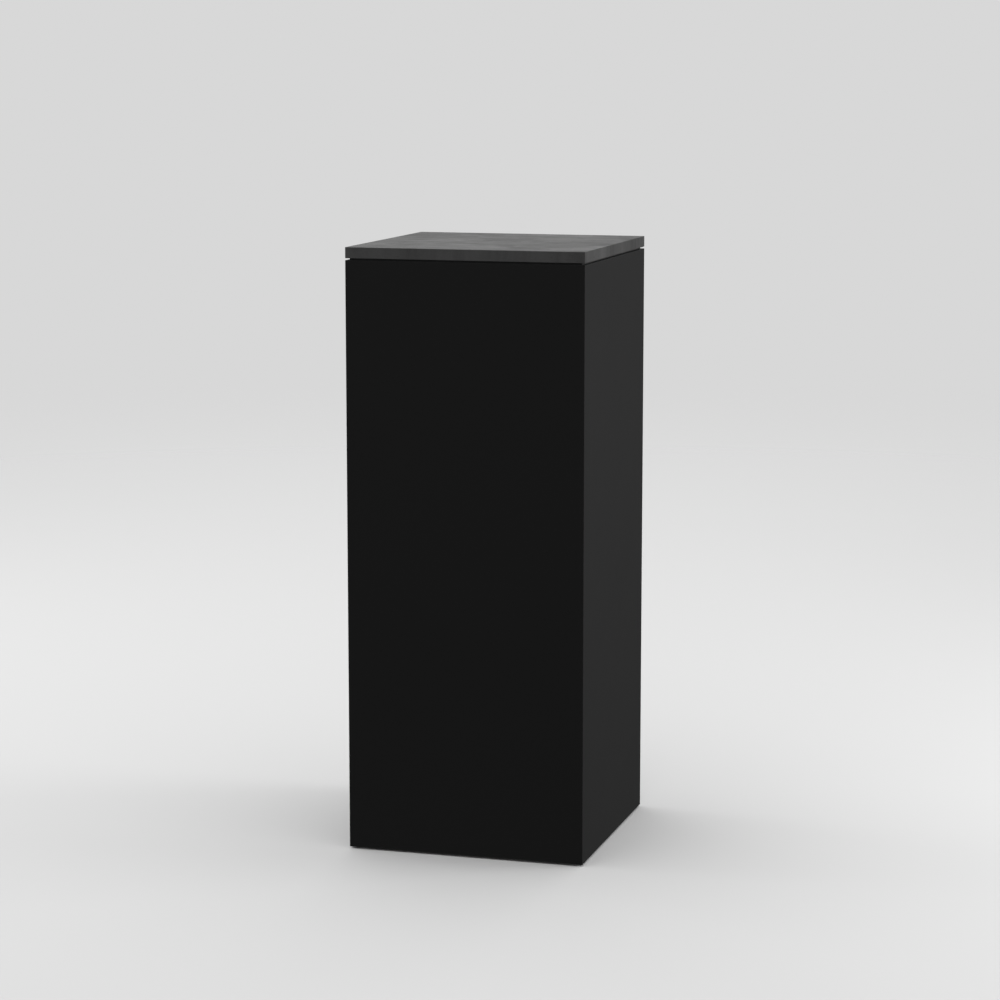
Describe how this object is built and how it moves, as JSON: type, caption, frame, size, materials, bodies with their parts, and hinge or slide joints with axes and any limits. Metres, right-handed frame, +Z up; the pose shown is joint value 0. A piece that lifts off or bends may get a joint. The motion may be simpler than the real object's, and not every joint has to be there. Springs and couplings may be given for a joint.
{
  "type": "display plinth",
  "caption": "Square floor-standing display plinth: black lacquered column, dark cement-board top that lifts off above a shadow gap, and levelling feet hidden underneath.",
  "frame": {"origin": "on the floor under the centre of the column, with the feet screwed fully in", "axes": "+Z up, -Y out of the face that looks towards the viewer, +X to that face's right"},
  "size_m": [0.4, 0.4, 1],
  "materials": {
    "black_lacquered_mdf": "matte",
    "raw_mdf": "matte",
    "pine": "matte",
    "beech": "matte",
    "dark_cement_board": "matte",
    "black_hardboard": "matte",
    "zinc_plated_steel": "satin",
    "yellow_zinc_steel": "satin",
    "ground_steel": "satin",
    "black_steel": "satin",
    "brass": "satin",
    "black_nylon": "satin",
    "grey_rubber": "matte"
  },
  "bodies": {
    "column": {"front_panel": "black_lacquered_mdf", "lower_front_cleat": "pine", "upper_front_cleat": "pine", "right_panel": "black_lacquered_mdf", "lower_right_cleat": "pine", "upper_right_cleat": "pine", "rear_panel": "black_lacquered_mdf", "lower_rear_cleat": "pine", "upper_rear_cleat": "pine", "left_panel": "black_lacquered_mdf", "lower_left_cleat": "pine", "upper_left_cleat": "pine", "base_panel": "raw_mdf", "upper_frame": "raw_mdf", "front_left_biscuits": "beech", "front_left_tee_nut": "zinc_plated_steel", "front_right_biscuits": "beech", "front_right_tee_nut": "zinc_plated_steel", "rear_right_biscuits": "beech", "rear_right_tee_nut": "zinc_plated_steel", "rear_left_biscuits": "beech", "rear_left_tee_nut": "zinc_plated_steel", "base_panel_screws": "yellow_zinc_steel", "upper_frame_screws": "yellow_zinc_steel", "lower_cleat_screws": "yellow_zinc_steel", "upper_cleat_screws": "yellow_zinc_steel", "pin_bushes": "brass"},
    "lift_off_top": {"top_slab": "dark_cement_board", "neck_plate": "black_hardboard", "locating_pins": "ground_steel", "neck_plate_screws": "black_steel"},
    "front_left_foot": {"front_left_foot_pad": "black_nylon", "front_left_foot_glide": "grey_rubber"},
    "front_left_foot_screw": {"front_left_foot_stem": "zinc_plated_steel"},
    "front_right_foot": {"front_right_foot_pad": "black_nylon", "front_right_foot_glide": "grey_rubber"},
    "front_right_foot_screw": {"front_right_foot_stem": "zinc_plated_steel"},
    "rear_right_foot": {"rear_right_foot_pad": "black_nylon", "rear_right_foot_glide": "grey_rubber"},
    "rear_right_foot_screw": {"rear_right_foot_stem": "zinc_plated_steel"},
    "rear_left_foot": {"rear_left_foot_pad": "black_nylon", "rear_left_foot_glide": "grey_rubber"},
    "rear_left_foot_screw": {"rear_left_foot_stem": "zinc_plated_steel"}
  },
  "joints": [
    {"name": "top_lift", "type": "slide", "parent": "column", "child": "lift_off_top", "axis": [0, 0, 1], "range_m": [0, 0.15]},
    {"name": "front_left_foot_level", "type": "slide", "parent": "column", "child": "front_left_foot", "axis": [0, 0, -1], "range_m": [0, 0.0125]},
    {"name": "front_left_foot_turn", "type": "hinge", "parent": "front_left_foot", "child": "front_left_foot_screw", "pos_m": [-0.138, -0.138, 0.018], "axis": [0, 0, -1], "range_deg": [0, 3601]},
    {"name": "front_right_foot_level", "type": "slide", "parent": "column", "child": "front_right_foot", "axis": [0, 0, -1], "range_m": [0, 0.0125]},
    {"name": "front_right_foot_turn", "type": "hinge", "parent": "front_right_foot", "child": "front_right_foot_screw", "pos_m": [0.138, -0.138, 0.018], "axis": [0, 0, -1], "range_deg": [0, 3601]},
    {"name": "rear_right_foot_level", "type": "slide", "parent": "column", "child": "rear_right_foot", "axis": [0, 0, -1], "range_m": [0, 0.0125]},
    {"name": "rear_right_foot_turn", "type": "hinge", "parent": "rear_right_foot", "child": "rear_right_foot_screw", "pos_m": [0.138, 0.138, 0.018], "axis": [0, 0, -1], "range_deg": [0, 3601]},
    {"name": "rear_left_foot_level", "type": "slide", "parent": "column", "child": "rear_left_foot", "axis": [0, 0, -1], "range_m": [0, 0.0125]},
    {"name": "rear_left_foot_turn", "type": "hinge", "parent": "rear_left_foot", "child": "rear_left_foot_screw", "pos_m": [-0.138, 0.138, 0.018], "axis": [0, 0, -1], "range_deg": [0, 3601]}
  ],
  "couplings": [
    {"joint": "front_left_foot_turn", "follows": "front_left_foot_level", "rad_per_m": 5026.5},
    {"joint": "front_right_foot_turn", "follows": "front_right_foot_level", "rad_per_m": 5026.5},
    {"joint": "rear_right_foot_turn", "follows": "rear_right_foot_level", "rad_per_m": 5026.5},
    {"joint": "rear_left_foot_turn", "follows": "rear_left_foot_level", "rad_per_m": 5026.5}
  ]
}
